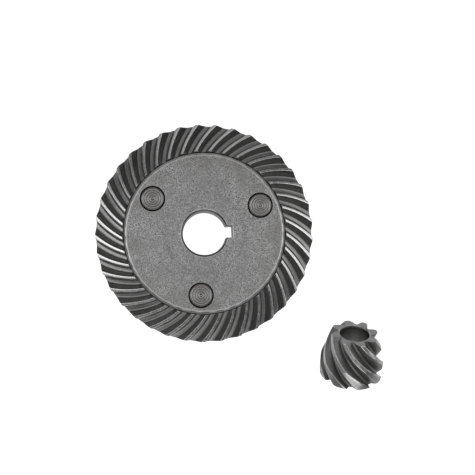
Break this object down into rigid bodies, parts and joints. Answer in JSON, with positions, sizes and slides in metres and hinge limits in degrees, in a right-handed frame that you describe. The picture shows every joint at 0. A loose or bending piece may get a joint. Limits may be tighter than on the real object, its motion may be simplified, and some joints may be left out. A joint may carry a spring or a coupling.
{
  "type": "bevel gear pair",
  "caption": "Spiral bevel gear pair for a right-angle drive: a keyed wheel with a toothed ring, and a small bored pinion laid beside it.",
  "frame": {"origin": "centre of the wheel bore, on the hub's seat face", "axes": "+Z along the wheel's axis, from the seat face towards the teeth; the pinion lies towards +X and -Y"},
  "size_m": [0.098, 0.09, 0.0241],
  "materials": {
    "wheel_steel": "satin, turned and bead-blasted",
    "pin_steel": "turned end faces",
    "pinion_steel": "satin, bright on the tooth lands",
    "washer_steel": "ground"
  },
  "bodies": {
    "wheel_seat": {"wheel_thrust_washer": "washer_steel"},
    "wheel": {"toothed_ring": "wheel_steel", "hub": "wheel_steel", "drive_pin_1": "pin_steel", "drive_pin_2": "pin_steel", "drive_pin_3": "pin_steel"},
    "pinion_seat": {"pinion_thrust_washer": "washer_steel"},
    "pinion": {"pinion": "pinion_steel"}
  },
  "joints": [
    {"name": "wheel_spin", "type": "hinge", "parent": "wheel_seat", "child": "wheel", "pos_m": [0, 0, 0], "axis": [0, 0, 1], "continuous": true},
    {"name": "pinion_swing", "type": "hinge", "parent": "wheel_seat", "child": "pinion_seat", "pos_m": [0.0279, -0.0063, 0.0092], "axis": [-0.1386, -0.9616, -0.2368], "range_deg": [0, 120]},
    {"name": "pinion_spin", "type": "hinge", "parent": "pinion_seat", "child": "pinion", "pos_m": [0.05025, -0.04466, 0.0102], "axis": [-0.0071, -0.8762, -0.482], "continuous": true}
  ],
  "couplings": [
    {"joint": "pinion_spin", "follows": "wheel_spin", "ratio": 4.625}
  ]
}
